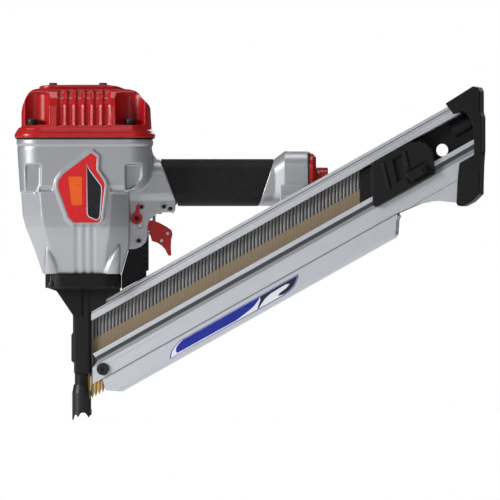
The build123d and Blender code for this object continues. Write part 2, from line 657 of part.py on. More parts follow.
with BuildPart() as mode_lever:
    disc(side(-16.3), 6.1, 3.2, [(mode_x, mode_z)])
    slab(side(-16.3), [(55.2, 205), (56.6, 214.6), (58.0, 216.0), (60.2, 215.8), (60.6, 213.6),
                       (59.4, 205)], 3.2)
    disc(side(-10.4), 3.0, 6, [(mode_x, mode_z)])
    disc(side(-18.3), 2.8, 1.2, [(mode_x, mode_z)], Mode.SUBTRACT)
finish(mode_lever.part, "mode_lever")

with BuildPart() as mode_lever_screw:
    disc(side(-18.3), 2.7, 1.6, [(mode_x, mode_z)])
    with BuildSketch(side(-19.9)):
        with Locations((mode_x, mode_z)):
            RegularPolygon(1.3, 6)
    extrude(amount=-1.0, mode=Mode.SUBTRACT)
finish(mode_lever_screw.part, "mode_lever_screw")

with BuildPart() as trigger_valve:
    disc(Plane.XY.offset(206), 8.0, 26, [(valve_x, 0)])
    disc(Plane.XY.offset(209), 5.2, 20, [(valve_x, 0)], Mode.SUBTRACT)
    disc(Plane.XY.offset(204), 1.8, 40, [(valve_x, 0)], Mode.SUBTRACT)
    with BuildSketch(Plane.XY.offset(216)):
        with Locations((valve_x, 0)):
            Circle(8.2)
            Circle(6.8, mode=Mode.SUBTRACT)
    extrude(amount=2, mode=Mode.SUBTRACT)
finish(trigger_valve.part, "trigger_valve")

with BuildPart() as valve_stem:
    disc(Plane.XY.offset(196.2), 1.6, 22, [(valve_x, 0)])
    disc(Plane.XY.offset(212), 4.8, 5, [(valve_x, 0)])
    fillet(valve_stem.edges().group_by(Axis.Z)[0], 0.8)
finish(valve_stem.part, "valve_stem")

with BuildPart() as valve_spring:
    with BuildLine():
        Helix(pitch=2.6, height=10.4, radius=3.4, center=(valve_x, 0, 217.8))
    with BuildSketch(Plane(origin=(valve_x + 3.4, 0, 217.8), z_dir=(0, 1, 0.12))):
        Circle(0.4)
    sweep(is_frenet=True)
finish(valve_spring.part, "valve_spring")

# ================= handle =================

with BuildPart() as handle_grip:
    pad(station(78, handle_z), (grip_y, grip_z), 16, 126)
    pad(station(70, handle_z), (core_y + 0.1, core_z + 0.1), 12, 140, mode=Mode.SUBTRACT)
    slab(side(40), [(79.0, 270), (99.9, 214.5), (99.9, 200), (60, 200), (60, 270)], 80,
         Mode.SUBTRACT)
    slab(side(40), [(202.0, 270), (180.8, 206), (215, 206), (215, 270)], 80, Mode.SUBTRACT)
finish(handle_grip.part, "handle_grip")

with BuildPart() as end_cap_gasket:
    pad(station(bell_end_x, bell_mid_z), (bell_y - 1, bell_z - 1), 16, 1.0)
    pad(station(bell_end_x, inlet_z), (30, 30), 10, 1.0, mode=Mode.SUBTRACT)
    for y in (-15.5, 15.5):
        for dz in (-19.5, 19.5):
            disc(station(bell_end_x, inlet_z), 2.7, 1.0, [(y, dz)], Mode.SUBTRACT)
finish(end_cap_gasket.part, "end_cap_gasket")

with BuildPart() as end_cap:
    pad(station(bell_end_x + 1.0, bell_mid_z), (bell_y, bell_z - 4), 16,
        end_cap_x - bell_end_x - 1.0)
    chamfer(end_cap.edges().group_by(Axis.X)[-1], 3.0)
    with BuildSketch(station(end_cap_x, inlet_z)):
        Circle(14.6)
    extrude(amount=inlet_face_x - end_cap_x)
    with BuildSketch(station(inlet_face_x - 8, inlet_z)):
        Circle(16)
        RegularPolygon(14.2, 6, major_radius=False, mode=Mode.SUBTRACT)
    extrude(amount=9, mode=Mode.SUBTRACT)
    disc(station(inlet_face_x - 15, inlet_z), inlet_thread_r, 16, mode=Mode.SUBTRACT)
    disc(station(bell_end_x, inlet_z), 6.0, 12, mode=Mode.SUBTRACT)
    for y in (-15.5, 15.5):
        for dz in (-19.5, 19.5):
            disc(station(bell_end_x, inlet_z), 2.6, 12, [(y, dz)], Mode.SUBTRACT)
            disc(station(end_cap_x - 3.4, inlet_z), 4.5, 6, [(y, dz)], Mode.SUBTRACT)
finish(end_cap.part, "end_cap")

with BuildPart() as end_cap_bolts:
    for y in (-15.5, 15.5):
        for dz in (-19.5, 19.5):
            disc(station(end_cap_x - 3.4, inlet_z), 4.2, 3.2, [(y, dz)])
            disc(station(226, inlet_z), 2.5, end_cap_x - 229, [(y, dz)])
            with BuildSketch(station(end_cap_x - 0.2, inlet_z)):
                with Locations((y, dz)):
                    RegularPolygon(2.0, 6)
            extrude(amount=-2, mode=Mode.SUBTRACT)
finish(end_cap_bolts.part, "end_cap_bolts")

# ================= magazine =================

rail_start = u_at(11.4, -12.6)

with BuildPart() as magazine_top_rail:
    with BuildSketch(section_plane.offset(-rail_start)):
        with BuildLine():
            Polyline(
                (-9, -12.6), (-9, -6.4), (-7.6, -5.8), (-7.6, -4.2), (-4.4, -4.2),
                (-4.4, -3.4), (-5.6, -3.4), (-5.6, -0.5), (-5.1, 0), (5.1, 0), (5.6, -0.5),
                (5.6, -3.4), (4.4, -3.4), (4.4, -4.2), (7.6, -4.2), (7.6, -5.8), (9, -6.4),
                (9, -12.6), (2.2, -12.6), (2.2, -7.2), (4.1, -7.2), (4.1, -2.0), (-4.1, -2.0),
                (-4.1, -7.2), (-2.2, -7.2), (-2.2, -12.6), close=True)
        make_face()
    extrude(amount=-(449.0 - rail_start))
    # upright front end
    slab(rail_plane.offset(-12), [
        on_rail(11.4, 60), on_rail(11.4, 130), on_rail(-30, 130), on_rail(-30, 60)], 24,
        Mode.SUBTRACT)
finish(magazine_top_rail.part, "magazine_top_rail")


def rail_section(sign):
    """Cross section of a lower rail, sign +1 for the near one."""
    half = [
        (2.6, -43.3), (9.6, -43.3), (10, -43.7), (10, -46.2), (9.2, -48.4), (6.4, -48.4),
        (6.4, -52.0), (8.8, -52.0), (9.2, -55.5), (10, -55.9), (10, -92), (8, -92), (8, -58),
        (5.0, -56), (2.6, -56)]
    return [(n * sign, w) for n, w in half]


near_outline = [
    (-8.7, -43.3), (-8.7, -52.5), (-15.9, -55.7), (-24.1, -70.9)] + rail_low
far_outline = [
    (u_at(11.6, -43.3), -43.3), (u_at(11.6, -52.5), -52.5), (-17.6, -55.7),
    (-25.8, -70.9)] + rail_low

with BuildPart() as magazine_near_rail:
    slab(section_plane.offset(40), rail_section(1), -540)
    slab(rail_plane.offset(0), near_outline, 20, Mode.INTERSECT)
    disc(rail_plane.offset(12), 2.6, -8, [(-7.0, -62.6)], Mode.SUBTRACT)
    # crease line behind the lower cover
    slab(rail_plane.offset(9.3), [(362, -72.6), (362, -71.8), (424, -71.8), (424, -72.6)], 1,
         Mode.SUBTRACT)
finish(magazine_near_rail.part, "magazine_near_rail")

with BuildPart() as magazine_far_rail:
    slab(section_plane.offset(40), rail_section(-1), -540)
    slab(rail_plane.offset(-20), far_outline, 20, Mode.INTERSECT)
    disc(rail_plane.offset(-12), 10.9, 20, [(413.0, -35.6)], Mode.SUBTRACT)
    disc(rail_plane.offset(-12), 2.6, 8, [(-7.0, -62.6)], Mode.SUBTRACT)
finish(magazine_far_rail.part, "magazine_far_rail")

with BuildPart() as magazine_back_plate:
    slab(rail_plane.offset(-7), [
        (u_at(11.6, -12.6), -12.6), (449.3, -12.6), (449.3, -5.0), (455.0, -7.0), (461.5, -16.0), (461.5, -33.0),
        (455.4, -43.3), (u_at(11.6, -43.3), -43.3)], 2)
    # rolled stiffener towards the rear
    with BuildSketch(section_plane.offset(-432)):
        with BuildLine():
            Polyline((-5.2, -14.5), (-2.2, -18.0), (-0.4, -22.5), (-0.4, -26.5), (-2.2, -30.0),
                     (-5.2, -31.5), close=True)
        make_face()
    extrude(amount=-22)
    disc(rail_plane.offset(-9.5), 10.5, 4.5, [(413.0, -35.6)])
    disc(rail_plane.offset(-12), 6.5, 16, [(413.0, -35.6)], Mode.SUBTRACT)
finish(magazine_back_plate.part, "magazine_back_plate")

with BuildPart() as magazine_tip_cover:
    with BuildSketch(section_plane.offset(40)):
        with BuildLine():
            Polyline(
                (10.4, -72.4), (10.4, -88.5), (8.5, -91.5), (-8.5, -91.5), (-10.4, -88.5),
                (-10.4, -72.4), (-8, -72.4), (-8, -67.5), (-7, -67.5), (-7, -86), (-5.5, -88.6),
                (5.5, -88.6), (7, -86), (7, -67.5), (8, -67.5), (8, -72.4), close=True)
        make_face()
    extrude(amount=-540)
    slab(rail_plane.offset(-15), [
        (-12.5, -66), (-13.1, -72.6), (-15.4, -83.3), (-2.4, -91.8), (325.4, -91.8),
        (329.6, -90.0), (334.0, -83.6), (338.2, -77.0), (341.4, -74.6), (341.8, -72.1),
        (341.8, -66)], 30, Mode.INTERSECT)
    slab(rail_plane.offset(-9.0), [
        (328.4, -90.4), (333.2, -83.4), (337.6, -76.6), (340.8, -74.2), (341.0, -72.7),
        (337.4, -72.7), (330.8, -83.0), (326.2, -89.4)], 18)
finish(magazine_tip_cover.part, "magazine_tip_cover")

with BuildPart() as magazine_screws:
    disc(rail_plane.offset(rail_half), 6.4, 2.6, [(-7.0, -62.6)])
    with BuildSketch(rail_plane.offset(rail_half + 2.6)):
        with Locations((-7.0, -62.6)):
            RegularPolygon(2.4, 6)
    extrude(amount=-1.8, mode=Mode.SUBTRACT)
    disc(rail_plane.offset(5.5), 2.5, 4.5, [(-7.0, -62.6)])
    disc(rail_plane.offset(-15.2), 4.6, 2.2, [(-7.0, -62.6)])
    disc(rail_plane.offset(-13), 2.5, 7.5, [(-7.0, -62.6)])
finish(magazine_screws.part, "magazine_screws")

with BuildPart() as magazine_rear_cap:
    slab(rail_plane.offset(-14), cap_rear, 28)
    slab(rail_plane.offset(-10.2), cap_pocket, 20.4, Mode.SUBTRACT)
finish(magazine_rear_cap.part, "magazine_rear_cap")

with BuildPart() as handle_bracket:
    slab(Plane.XY.offset(192), [(206, -24.05), (231, -24.05), (231, -30.55), (206, -26.15)], 44)
    slab(Plane.XY.offset(224), [(206, -31.5), (231, -31.5), (231, -26.6), (206, -26.6)], 13,
         Mode.SUBTRACT)
finish(handle_bracket.part, "handle_bracket")

# ================= nails and pusher =================


def nail_at(a):
    """One clipped-head nail at distance a from the drive axis, added to the open part."""
    rise = a * sin(mag_slope) / cos(mag_slope)
    disc(level(nail_tip_z + rise + 4), nail_shank_r, nail_length - 4 - nail_head_t / 2, [(a, 0)])
    with BuildSketch(level(nail_tip_z + rise + 4)) as shank_end:
        with Locations((a, 0)):
            Circle(nail_shank_r)
    extrude(shank_end.sketch, amount=-4, taper=20)
    with BuildSketch(level(nail_top_z + rise - nail_head_t)) as head:
        with Locations((a, 0)):
            Circle(nail_head_r)
        with Locations((a + 1.85 + 3, 0)):
            Rectangle(6, 8, mode=Mode.SUBTRACT)
    extrude(head.sketch, amount=nail_head_t)


with BuildPart() as first_nail:
    nail_at(0)
finish(first_nail.part, "first_nail")

with BuildPart() as second_nail:
    nail_at(nail_pitch)

nails = Compound(
    children=[
        second_nail.part.moved(
            Location((
                across[0] * nail_pitch * i,
                across[1] * nail_pitch * i,
                nail_pitch * i * sin(mag_slope) / cos(mag_slope),
            ))
        )
        for i in range(nail_count - 1)
    ]
)
finish(nails, "nails")

with BuildPart() as paper_tapes:
    for first, last in ((1, 39), (40, nail_count - 1)):
        start = first * nail_pitch - 1.7
        stop = last * nail_pitch + 1.7
        band = [
            (u_at(start, -29.7), -29.7), (u_at(stop, -29.7), -29.7),
            (u_at(stop, -43.0), -43.0), (u_at(start, -43.0), -43.0)]
        for n in (nail_shank_r, -nail_shank_r - 0.45):
            slab(rail_plane.offset(n), band, 0.45)
finish(paper_tapes.part, "paper_tapes")

pusher_front = (nail_count - 1) * nail_pitch + nail_shank_r + 0.3

with BuildPart() as nail_pusher:
    # follower blade behind the last nail
    slab(rail_plane.offset(-2.1), [
        (u_at(pusher_front, -14), -14), (402, -14), (404, -20), (404, -42.5),
        (u_at(pusher_front, -42.5), -42.5)], 4.2)
    # block through the side opening
    slab(rail_plane.offset(-2.1), [
        (340, -17), (400, -17), (402, -24), (402, -42.5), (326.5, -42.5)], 15.1)
    # carriage over the rail
    slab(rail_plane.offset(10.4), [
        (344.6, -14.4), (391, -14.4), (404.5, -22.4), (407.0, -31.0), (397.6, -54.9),
        (326.4, -54.9), (325.0, -51.4)], 5.6)
    # finger frame with a raised rib on each side
    slab(rail_plane.offset(13.0), [
        (366, -20.5), (377, -20.5), (370, -44.0), (359, -44.0)], 6, Mode.SUBTRACT)
    slab(rail_plane.offset(15.9), [(354, -19.5), (357, -19.5), (350, -45.5), (347, -45.5)], 1.6)
    slab(rail_plane.offset(15.9), [(379.5, -19.5), (382.5, -19.5), (378, -36), (375, -36)], 1.6)
    # scooped recess round the latch
    pad(rail_plane.offset(15.0), (30, 14), 4, 4, (384.5, -46), Mode.SUBTRACT)
    # leg and axle for the spring roll
    slab(rail_plane.offset(-2.1), [(374, -40), (388, -40), (388, -67), (376, -67)], 4.2)
    disc(rail_plane.offset(0), 1.6, 7.7, [(382, -63.6)])
    disc(rail_plane.offset(10), 1.9, 8, [(376, -46)], Mode.SUBTRACT)
finish(nail_pusher.part, "nail_pusher")

with BuildPart() as pusher_latch:
    pad(rail_plane.offset(16.4), (22, 9), 3, 3.6, (383, -46))
    disc(rail_plane.offset(11), 1.8, 6, [(376, -46)])
    slab(rail_plane.offset(20.0), [(387, -42.5), (389, -42.5), (389, -49.5), (387, -49.5)], 1.0)
    slab(rail_plane.offset(20.0), [(390, -42.8), (392, -42.8), (392, -49.2), (390, -49.2)], 1.0)
finish(pusher_latch.part, "pusher_latch")

with BuildPart() as pusher_spring:
    with BuildSketch(rail_plane.offset(3.2)):
        with Locations((382, -63.6)):
            Circle(5.6)
            Circle(1.9, mode=Mode.SUBTRACT)
        with BuildLine():
            Polyline((382, -69.2), (40, -69.2), (40, -68.8), (382, -68.8), close=True)
        make_face()
    extrude(amount=3.6)
finish(pusher_spring.part, "pusher_spring")
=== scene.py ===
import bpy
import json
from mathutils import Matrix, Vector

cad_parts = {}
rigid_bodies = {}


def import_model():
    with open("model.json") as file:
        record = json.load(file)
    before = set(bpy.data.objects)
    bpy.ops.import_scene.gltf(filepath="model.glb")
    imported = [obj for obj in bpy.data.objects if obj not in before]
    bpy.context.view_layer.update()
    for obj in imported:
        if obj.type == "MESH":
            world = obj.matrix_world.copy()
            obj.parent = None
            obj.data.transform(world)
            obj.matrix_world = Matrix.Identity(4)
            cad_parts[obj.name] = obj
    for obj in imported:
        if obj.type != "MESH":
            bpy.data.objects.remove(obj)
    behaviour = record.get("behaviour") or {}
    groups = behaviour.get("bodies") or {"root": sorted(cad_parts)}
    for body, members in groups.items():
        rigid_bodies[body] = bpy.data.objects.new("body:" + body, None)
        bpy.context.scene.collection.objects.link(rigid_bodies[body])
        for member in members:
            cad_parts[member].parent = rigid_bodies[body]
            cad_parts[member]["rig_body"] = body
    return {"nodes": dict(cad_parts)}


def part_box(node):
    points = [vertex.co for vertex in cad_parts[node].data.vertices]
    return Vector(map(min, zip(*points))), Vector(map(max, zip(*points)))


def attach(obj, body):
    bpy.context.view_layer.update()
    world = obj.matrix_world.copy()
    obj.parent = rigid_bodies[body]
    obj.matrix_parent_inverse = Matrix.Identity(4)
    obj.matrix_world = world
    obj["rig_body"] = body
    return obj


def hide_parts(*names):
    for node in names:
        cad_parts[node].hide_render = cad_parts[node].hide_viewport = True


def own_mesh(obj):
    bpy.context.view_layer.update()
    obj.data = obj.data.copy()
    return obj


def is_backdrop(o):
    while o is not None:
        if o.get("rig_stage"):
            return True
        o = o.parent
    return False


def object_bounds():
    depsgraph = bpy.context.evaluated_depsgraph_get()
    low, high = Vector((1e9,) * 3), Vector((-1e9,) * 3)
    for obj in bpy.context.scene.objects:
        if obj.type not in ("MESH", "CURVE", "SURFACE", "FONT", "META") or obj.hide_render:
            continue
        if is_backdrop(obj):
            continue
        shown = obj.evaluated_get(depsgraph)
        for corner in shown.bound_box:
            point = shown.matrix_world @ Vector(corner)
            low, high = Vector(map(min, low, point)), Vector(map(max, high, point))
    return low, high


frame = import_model()
cad_low, cad_high = (list(c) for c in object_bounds())

import json
import math

import bmesh
import bpy
from mathutils import Vector

scene = bpy.context.scene
scene.view_settings.view_transform = "Standard"
nodes = frame["nodes"]
slot_of = {name: o.data.materials[0].name for name, o in nodes.items()}

# Rail frame of the magazine, metres: U back along the rail, W up across it, N to the near side
TURN = math.radians(10)
SLOPE = math.radians(29)
RAIL_O = Vector((0, 0, 0.103))
RAIL_U = Vector((math.cos(SLOPE) * math.cos(TURN), -math.cos(SLOPE) * math.sin(TURN),
                 math.sin(SLOPE)))
RAIL_W = Vector((-math.sin(SLOPE) * math.cos(TURN), math.sin(SLOPE) * math.sin(TURN),
                 math.cos(SLOPE)))
RAIL_N = Vector((-math.sin(TURN), -math.cos(TURN), 0))

# Nails, metres: their level axis, their spacing along it, and the height of the first tip
NAIL_ROW = (math.cos(TURN), -math.sin(TURN), 0)
NAIL_PITCH = 0.00369
NAIL_TIP = 0.0084
COATED_LENGTH = 0.0235


def rail(u, w, n):
    """A point in millimetres of the rail frame, as a world position in metres."""
    return RAIL_O + (RAIL_U * u + RAIL_W * w + RAIL_N * n) * 0.001


# ================= node graph helpers =================

class Graph:
    """A material with a Principled surface and short calls that add nodes to it."""

    def __init__(self, name, color, rough, metallic=0.0, coat=0.0, coat_rough=0.1,
                 specular=0.5):
        self.material = bpy.data.materials.new(name)
        self.material.use_nodes = True
        self.tree = self.material.node_tree
        self.shader = self.tree.nodes["Principled BSDF"]
        self.shader.inputs["Base Color"].default_value = (*color, 1)
        self.shader.inputs["Roughness"].default_value = rough
        self.shader.inputs["Metallic"].default_value = metallic
        self.shader.inputs["Coat Weight"].default_value = coat
        self.shader.inputs["Coat Roughness"].default_value = coat_rough
        self.shader.inputs["Specular IOR Level"].default_value = specular
        self.place = self.tree.nodes.new("ShaderNodeTexCoord").outputs["Object"]
        self.normal = None

    def link(self, source, target):
        self.tree.links.new(source, target)

    def math(self, kind, a, b=0.0):
        n = self.tree.nodes.new("ShaderNodeMath")
        n.operation = kind
        for value, socket in ((a, n.inputs[0]), (b, n.inputs[1])):
            if hasattr(value, "is_linked"):
                self.link(value, socket)
            else:
                socket.default_value = value
        return n.outputs[0]

    def along(self, axis):
        """Distance of the surface point along a fixed axis, metres."""
        n = self.tree.nodes.new("ShaderNodeVectorMath")
        n.operation = "DOT_PRODUCT"
        self.link(self.place, n.inputs[0])
        n.inputs[1].default_value = axis
        return n.outputs["Value"]

    def stretched(self, axes, scales):
        """Coordinates along three axes, each with its own scale."""
        join = self.tree.nodes.new("ShaderNodeCombineXYZ")
        for i, (axis, scale) in enumerate(zip(axes, scales)):
            self.link(self.math("MULTIPLY", self.along(axis), scale), join.inputs[i])
        return join.outputs[0]

    def noise(self, scale, detail=3.0, rough=0.55, at=None, distortion=0.0):
        n = self.tree.nodes.new("ShaderNodeTexNoise")
        n.inputs["Scale"].default_value = scale
        n.inputs["Detail"].default_value = detail
        n.inputs["Roughness"].default_value = rough
        n.inputs["Distortion"].default_value = distortion
        self.link(at or self.place, n.inputs["Vector"])
        return n.outputs["Fac"]

    def cells(self, scale):
        n = self.tree.nodes.new("ShaderNodeTexVoronoi")
        n.inputs["Scale"].default_value = scale
        self.link(self.place, n.inputs["Vector"])
        return n.outputs["Distance"]

    def ramp(self, source, stops):
        n = self.tree.nodes.new("ShaderNodeValToRGB")
        marks = n.color_ramp.elements
        while len(marks) < len(stops):
            marks.new(0.5)
        for mark, (at, color) in zip(marks, stops):
            mark.position = at
            mark.color = (*color, 1)
        self.link(source, n.inputs[0])
        return n.outputs[0]

    def span(self, source, low, high, to_low=0.0, to_high=1.0):
        n = self.tree.nodes.new("ShaderNodeMapRange")
        self.link(source, n.inputs["Value"])
        n.inputs["From Min"].default_value = low
        n.inputs["From Max"].default_value = high
        n.inputs["To Min"].default_value = to_low
        n.inputs["To Max"].default_value = to_high
        return n.outputs[0]

    def blend(self, factor, a, b):
        n = self.tree.nodes.new("ShaderNodeMix")
        n.data_type = "RGBA"
        if hasattr(factor, "is_linked"):
            self.link(factor, n.inputs[0])
        else:
            n.inputs[0].default_value = factor
        for value, socket in ((a, n.inputs[6]), (b, n.inputs[7])):
            if hasattr(value, "is_linked"):
                self.link(value, socket)
            else:
                socket.default_value = (*value, 1)
        return n.outputs[2]

    def color(self, source):
        self.link(source, self.shader.inputs["Base Color"])

    def rough(self, source, low, high):
        self.link(self.span(source, 0.25, 0.75, low, high), self.shader.inputs["Roughness"])

    def bump(self, height, strength, distance):
        n = self.tree.nodes.new("ShaderNodeBump")
        n.inputs["Strength"].default_value = strength
        n.inputs["Distance"].default_value = distance
        self.link(height, n.inputs["Height"])
        if self.normal:
            self.link(self.normal, n.inputs["Normal"])
        self.normal = n.outputs[0]
        self.link(self.normal, self.shader.inputs["Normal"])

    def edges(self, low, high):
        """How strongly the surface point lies on a raised edge."""
        n = self.tree.nodes.new("ShaderNodeNewGeometry")
        return self.span(n.outputs["Pointiness"], low, high)


def shade(color, k):
    return tuple(min(c * k, 1.0) for c in color)


# ================= materials =================

def silver_paint():
    base = (0.36, 0.37, 0.39)
    g = Graph("silver_paint_cast", base, 0.42, metallic=0.55, coat=0.15, coat_rough=0.3)
    flake = g.noise(2600, 2)
    broad = g.noise(18, 3)
    tone = g.ramp(flake, [(0.3, shade(base, 0.84)), (0.7, shade(base, 1.18))])
    tone = g.blend(0.5, tone, g.ramp(broad, [(0.3, shade(base, 0.93)), (0.7, shade(base, 1.06))]))
    scuff = g.math("MULTIPLY", g.edges(0.52, 0.6), g.span(g.noise(240, 4), 0.45, 0.6))
    g.color(g.blend(g.math("MULTIPLY", scuff, 0.35), tone, (0.62, 0.62, 0.64)))
    g.rough(g.noise(700, 3), 0.34, 0.5)
    g.bump(g.noise(1300, 4, 0.6), 0.22, 0.0003)
    g.bump(g.noise(130, 2), 0.10, 0.0010)
    return g.material


def red_paint():
    base = (0.37, 0.006, 0.008)
    g = Graph("red_paint_gloss", base, 0.34, specular=0.3, coat=0.14, coat_rough=0.12)
    tone = g.ramp(g.noise(35, 4), [(0.3, shade(base, 0.88)), (0.7, shade(base, 1.1))])
    speck = g.ramp(g.noise(3200, 2), [(0.35, shade(base, 0.9)), (0.65, shade(base, 1.1))])
    g.color(g.blend(0.4, tone, speck))
    g.rough(g.noise(420, 3), 0.24, 0.36)
    g.bump(g.noise(900, 3, 0.5), 0.16, 0.0002)
    return g.material


def red_plastic():
    base = (0.40, 0.010, 0.013)
    g = Graph("red_plastic_moulded", base, 0.36, specular=0.32)
    g.color(g.ramp(g.noise(60, 4), [(0.3, shade(base, 0.86)), (0.7, shade(base, 1.08))]))
    g.rough(g.noise(500, 3), 0.26, 0.42)
    g.bump(g.cells(2200), 0.10, 0.0002)
    return g.material


def black_paint():
    base = (0.0050, 0.0050, 0.0054)
    g = Graph("black_paint_textured", base, 0.45, specular=0.18)
    tone = g.ramp(g.noise(900, 4), [(0.3, shade(base, 0.7)), (0.72, shade(base, 1.7))])
    wear = g.math("MULTIPLY", g.edges(0.53, 0.6), g.span(g.noise(300, 4), 0.48, 0.62))
    g.color(g.blend(g.math("MULTIPLY", wear, 0.5), tone, (0.06, 0.06, 0.063)))
    g.rough(g.noise(500, 3), 0.38, 0.56)
    g.bump(g.noise(1500, 4, 0.6), 0.32, 0.0003)
    return g.material


def black_plastic():
    base = (0.0052, 0.0052, 0.0056)
    g = Graph("black_plastic_moulded", base, 0.5, specular=0.17)
    g.color(g.ramp(g.noise(400, 5), [(0.3, shade(base, 0.75)), (0.7, shade(base, 1.5))]))
    g.rough(g.noise(700, 3), 0.42, 0.6)
    g.bump(g.cells(2600), 0.24, 0.0003)
    return g.material


def rubber(name, base, grain):
    g = Graph(name, base, 0.62, specular=0.22)
    g.color(g.ramp(g.noise(160, 5), [(0.3, shade(base, 0.75)), (0.7, shade(base, 1.5))]))
    g.rough(g.noise(600, 3), 0.52, 0.74)
    g.bump(g.cells(grain), 0.35, 0.0004)
    return g.material


# Painted shade in bands across the rail, metres: the groove, the step below it and two lines of
# the top rail
RAIL_SHADE_BANDS = (
    (-0.0520, -0.0478, 0.22),
    (-0.0555, -0.0520, 0.5),
    (-0.0042, -0.0034, 0.3),
    (-0.0064, -0.0058, 0.3),
)
SHADE_BAND_EDGE = 0.0002


def brushed(name, base, rough, axis, metallic, strength, shade_bands):
    """Metal with fine lines along an axis, with painted shade in bands across the rail for its
    grooves and lines; each band is (lowest, highest, share of the tone).
    """
    side = axis.orthogonal().normalized()
    third = axis.cross(side)
    g = Graph(name, base, rough, metallic=metallic)
    lines = g.noise(1.0, 3, 0.6, g.stretched((axis, side, third), (14, 3400, 3400)))
    broad = g.noise(1.0, 2, 0.5, g.stretched((axis, side, third), (5, 260, 260)))
    tone = g.ramp(lines, [(0.3, shade(base, 0.9)), (0.7, shade(base, 1.08))])
    streaks = g.ramp(broad, [(0.3, shade(base, 0.95)), (0.7, shade(base, 1.05))])
    tone = g.blend(0.35, tone, streaks)
    across = g.math("SUBTRACT", g.along(RAIL_W), RAIL_O.dot(RAIL_W))
    # painted shade: each band darkens the rail to its share of the tone along a groove or line
    for low, high, level in shade_bands:
        lower = g.span(across, low - SHADE_BAND_EDGE, low + SHADE_BAND_EDGE)
        upper = g.span(across, high + SHADE_BAND_EDGE, high - SHADE_BAND_EDGE)
        tone = g.blend(g.math("MULTIPLY", lower, upper), tone, shade(base, level))
    g.color(tone)
    g.rough(g.noise(220, 3), rough * 0.9, rough * 1.15)
    g.bump(lines, strength, 0.00015)
    return g.material


def machined(name, base, rough, metallic=1.0):
    """Turned or milled metal with a fine even grain and slight stains."""
    g = Graph(name, base, rough, metallic=metallic)
    tone = g.ramp(g.noise(1800, 4, 0.7), [(0.3, shade(base, 0.8)), (0.7, shade(base, 1.2))])
    stains = g.ramp(g.noise(90, 4), [(0.3, shade(base, 0.8)), (0.7, shade(base, 1.15))])
    g.color(g.blend(0.4, tone, stains))
    g.rough(g.noise(340, 4), rough * 0.75, rough * 1.35)
    g.bump(g.noise(2400, 3), 0.12, 0.0002)
    return g.material


def nail_metal():
    """Grey wire with a coated golden point, a little different from nail to nail."""
    base = (0.155, 0.15, 0.15)
    g = Graph("nail_wire", base, 0.5, metallic=0.35)
    along = g.along(NAIL_ROW)
    up = g.along((0, 0, 1))
    tip = g.math("SUBTRACT", g.math("SUBTRACT", up, NAIL_TIP),
                 g.math("MULTIPLY", along, math.tan(SLOPE)))
    index = g.math("FLOOR", g.math("ADD", g.math("DIVIDE", along, NAIL_PITCH), 0.5))
    own = g.tree.nodes.new("ShaderNodeTexWhiteNoise")
    own.noise_dimensions = "1D"
    g.link(index, own.inputs["W"])
    tone = g.ramp(own.outputs["Value"], [(0.0, shade(base, 0.75)), (1.0, shade(base, 1.3))])
    drawn = g.stretched(((1, 0, 0), (0, 1, 0), (0, 0, 1)), (2500, 2500, 60))
    wire = g.noise(1.0, 3, 0.6, drawn)
    tone = g.blend(0.4, tone, g.ramp(wire, [(0.3, shade(base, 0.7)), (0.7, shade(base, 1.35))]))
    coated = g.span(tip, COATED_LENGTH + 0.001, COATED_LENGTH - 0.001)
    gilt = g.ramp(wire, [(0.3, (0.20, 0.11, 0.012)), (0.7, (0.42, 0.26, 0.04))])
    g.color(g.blend(coated, tone, gilt))
    g.rough(g.noise(500, 3), 0.42, 0.58)
    g.bump(wire, 0.12, 0.0002)
    return g.material


def paper():
    """Brown paper with grain along the rail and a soft ridge over each nail, with painted shade
    between the nails and a painted highlight on each ridge.
    """
    base = (0.205, 0.160, 0.104)
    g = Graph("paper_tape_kraft", base, 0.85, specular=0.2)
    fibre = g.noise(1.0, 5, 0.7, g.stretched((RAIL_U, RAIL_W, RAIL_N), (500, 2200, 2200)), 0.8)
    tone = g.ramp(fibre, [(0.28, shade(base, 0.72)), (0.72, shade(base, 1.2))])
    along = g.along(NAIL_ROW)
    ridge = g.math("PINGPONG", g.math("ADD", along, NAIL_PITCH / 4), NAIL_PITCH / 2)
    ridge = g.span(ridge, 0.0, NAIL_PITCH / 2)
    # painted shade between the nails and painted highlight over each ridge of the tape
    fold_shading = g.ramp(ridge, [(0.1, shade(base, 0.78)), (0.9, shade(base, 1.1))])
    g.color(g.blend(0.2, tone, fold_shading))
    g.bump(ridge, 0.2, 0.0006)
    g.bump(fibre, 0.4, 0.0003)
    return g.material


def print_ink(name, base):
    """Printed foil: an even colour with a fine screen and a light grain."""
    g = Graph(name, base, 0.3, specular=0.35, coat=0.1, coat_rough=0.15)
    g.color(g.ramp(g.noise(1500, 3), [(0.35, shade(base, 0.9)), (0.65, shade(base, 1.08))]))
    g.rough(g.noise(260, 3), 0.24, 0.39)
    g.bump(g.cells(3000), 0.06, 0.0001)
    return g.material


# One material for each slot of the record
surface = {
    "silver_paint": silver_paint(),
    "red_paint": red_paint(),
    "red_plastic": red_plastic(),
    "black_paint": black_paint(),
    "black_plastic": black_plastic(),
    "grip_rubber": rubber("grip_rubber_textured", (0.0055, 0.0055, 0.0060), 1500),
    "seal_rubber": rubber("seal_rubber_smooth", (0.006, 0.006, 0.006), 3000),
    "black_steel": machined("black_oxide_steel", (0.012, 0.012, 0.013), 0.42, 0.5),
    "steel": machined("ground_steel", (0.46, 0.46, 0.47), 0.3),
    "spring_steel": machined("spring_wire", (0.33, 0.33, 0.35), 0.32),
    "aluminium": brushed("rail_aluminium", (0.46, 0.475, 0.51), 0.46, RAIL_U, 0.45, 0.10,
                         RAIL_SHADE_BANDS),
    "brass": machined("turned_brass", (0.55, 0.38, 0.14), 0.3),
    "badge_print": print_ink("badge_red", (0.55, 0.010, 0.014)),
    "nail_steel": nail_metal(),
    "paper": paper(),
}

# ================= shapes =================

